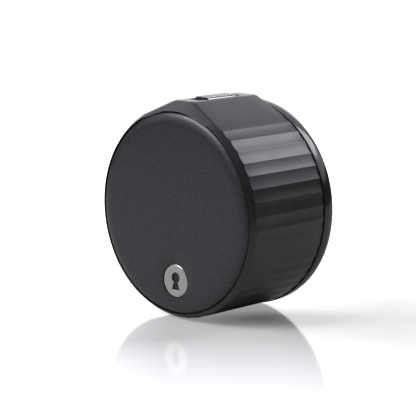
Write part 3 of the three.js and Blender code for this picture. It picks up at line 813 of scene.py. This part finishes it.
# the floor's own glow is painted light: it is low round the object and rises away from it, standing in for
# the light and shade on the floor there.
# It is a sum of ramps: the axis it changes along, its strength before and after the change, and where the
# change starts and ends, in metres along that axis as the camera sees it
FLOOR_PAINTED_LIGHT = (
    ("ahead", 0.48, 0, -0.13, -0.056),
    ("ahead", 0, 0.25, -0.03, 0.01),
    ("ahead", 0, 0.5, 0.04, 0.14),
    ("across", 0.2, 0, -0.05, -0.03),
    ("across", 0.24, 0.05, 0.005, 0.045),
)

# the painted soft shade on the floor under the object's right side, a dip in the floor's painted light: its
# middle and half lengths, in metres
SHADE_ACROSS, SHADE_AHEAD = 0.014, -0.030
SHADE_HALF, SHADE_DEPTH = 0.028, 0.013


def away_from(turn, rise):
    """The direction that leaves the object at an azimuth and an elevation."""
    return Vector((math.sin(turn) * math.cos(rise), -math.cos(turn) * math.cos(rise), math.sin(rise)))


def camera():
    data = bpy.data.cameras.new("camera")
    data.sensor_width = 36
    data.lens = FOCAL_PIXELS * data.sensor_width / FRAME_PIXELS
    data.clip_end = 10
    obj = bpy.data.objects.new("camera", data)
    bpy.context.scene.collection.objects.link(obj)
    right = Vector((math.cos(CAMERA_TURN), math.sin(CAMERA_TURN), 0))
    back = away_from(CAMERA_TURN, CAMERA_RISE)
    up = back.cross(right)
    offset = right * CAMERA_RIGHT + up * CAMERA_UP + back * CAMERA_BACK
    spot = at(0, 0, SHELL_HIGH.z) + offset * UNIT * MM
    obj.matrix_world = Matrix.Translation(spot) @ Matrix((right, up, back)).transposed().to_4x4()
    bpy.context.scene.camera = obj


def staged(name, bm, material):
    """A floor or a backdrop, which isn't part of the object."""
    mesh = bpy.data.meshes.new(name)
    bm.to_mesh(mesh)
    bm.free()
    mesh.shade_smooth()
    mesh.materials.append(material)
    obj = bpy.data.objects.new(name, mesh)
    bpy.context.scene.collection.objects.link(obj)
    return obj


def floor():
    """A pale glossy floor whose glow is painted light and painted shade, seen by the camera, over a matte one
    that lights the object.
    """
    # the second colour tints the floor's painted light
    white, painted_light_tint = (0.485, 0.49, 0.5, 1), (0.965, 0.975, 1, 1)
    n = Nodes("floor_white_gloss", IOR=1.5, Base_Color=white, Emission_Color=painted_light_tint)
    n.drive("Roughness", n.between(n.noise(60.0), 0.07, 0.10))
    inputs = {"Vector": n.place, "Rotation": (0, 0, -CAMERA_TURN)}
    turned = n.add("ShaderNodeMapping", inputs).outputs["Vector"]
    across, ahead = n.add("ShaderNodeSeparateXYZ", {"Vector": turned}).outputs[:2]
    axes = {"across": across, "ahead": ahead}
    # the floor's painted light: low round the object and higher away from it
    glow = n.sum(*[n.between(axes[axis], *change) for axis, *change in FLOOR_PAINTED_LIGHT])
    # where the painted shade patch lies, in the camera's axes
    inputs = {
        "Vector": turned,
        "Location": (-SHADE_ACROSS / SHADE_HALF, -SHADE_AHEAD / SHADE_DEPTH, 0),
        "Scale": (1 / SHADE_HALF, 1 / SHADE_DEPTH, 0),
    }
    patch = n.add("ShaderNodeMapping", inputs).outputs["Vector"]
    reach = n.add("ShaderNodeVectorMath", {0: patch}, operation="LENGTH").outputs["Value"]
    # the painted light, darkened towards the middle of the painted shade patch
    n.drive("Emission Strength", n.times(glow, n.between(reach, 0.25, 1, 0.4, 1.15)))
    matte = Nodes("floor_white_matte", Base_Color=(0.5, 0.5, 0.5, 1))
    matte.drive("Roughness", matte.between(matte.noise(60.0), 0.5, 0.55))
    for name, material, level in (("floor", n.material, 0), ("floor_bounce", matte.material, -0.1)):
        bm = bmesh.new()
        height = (FLOOR_LEVEL + level) * MM
        bm.faces.new([bm.verts.new((x * MM, y * MM, height)) for x, y in circle(FLOOR_REACH, 96)])
        obj = staged(name, bm, material)
        if name == "floor":
            obj.visible_diffuse = obj.visible_glossy = obj.visible_shadow = False
        else:
            obj.visible_camera = False


def backdrop():
    """A white dome that only the camera sees."""
    material = bpy.data.materials.new("backdrop_white")
    material.use_nodes = True
    tree = material.node_tree
    tree.nodes.clear()
    glow = tree.nodes.new("ShaderNodeEmission")
    glow.inputs["Strength"].default_value = BACKDROP_GLOW
    out = tree.nodes.new("ShaderNodeOutputMaterial")
    tree.links.new(glow.outputs[0], out.inputs["Surface"])
    bm = bmesh.new()
    bmesh.ops.create_uvsphere(bm, u_segments=64, v_segments=32, radius=BACKDROP_R)
    obj = staged("backdrop", bm, material)
    obj.visible_diffuse = obj.visible_glossy = obj.visible_transmission = obj.visible_shadow = False


def world():
    made = bpy.data.worlds.new("studio")
    made.use_nodes = True
    made.node_tree.nodes["Background"].inputs["Color"].default_value = (1, 1, 1, 1)
    made.node_tree.nodes["Background"].inputs["Strength"].default_value = WORLD_GLOW
    bpy.context.scene.world = made


def softbox(name, azimuth, elevation, width, height, radiance):
    """A rectangular light that faces the object. Its power follows from its radiance."""
    data = bpy.data.lights.new(name, "AREA")
    data.shape = "RECTANGLE"
    data.size, data.size_y = width, height
    data.energy = radiance * math.pi * width * height
    obj = bpy.data.objects.new(name, data)
    bpy.context.scene.collection.objects.link(obj)
    away = away_from(math.radians(azimuth), math.radians(elevation))
    obj.location = at(0, 0, LIGHT_AIM) + away * LIGHT_DISTANCE
    obj.rotation_mode = "QUATERNION"
    obj.rotation_quaternion = away.to_track_quat("Z", "Y")
    obj.visible_camera = False


def lights():
    for name, settings in LIGHTS.items():
        softbox(name, *settings)


def studio():
    scene = bpy.context.scene
    scene.view_settings.view_transform = "Standard"
    camera()
    world()
    floor()
    backdrop()
    lights()


# ---- Everything ----

shell()
coupler()
clip()
base_ring()
mounting_plate()
base_inside()
cover()
emblem()
magnets()
lever()
lever_pin()
dress_carried_nodes()
studio()
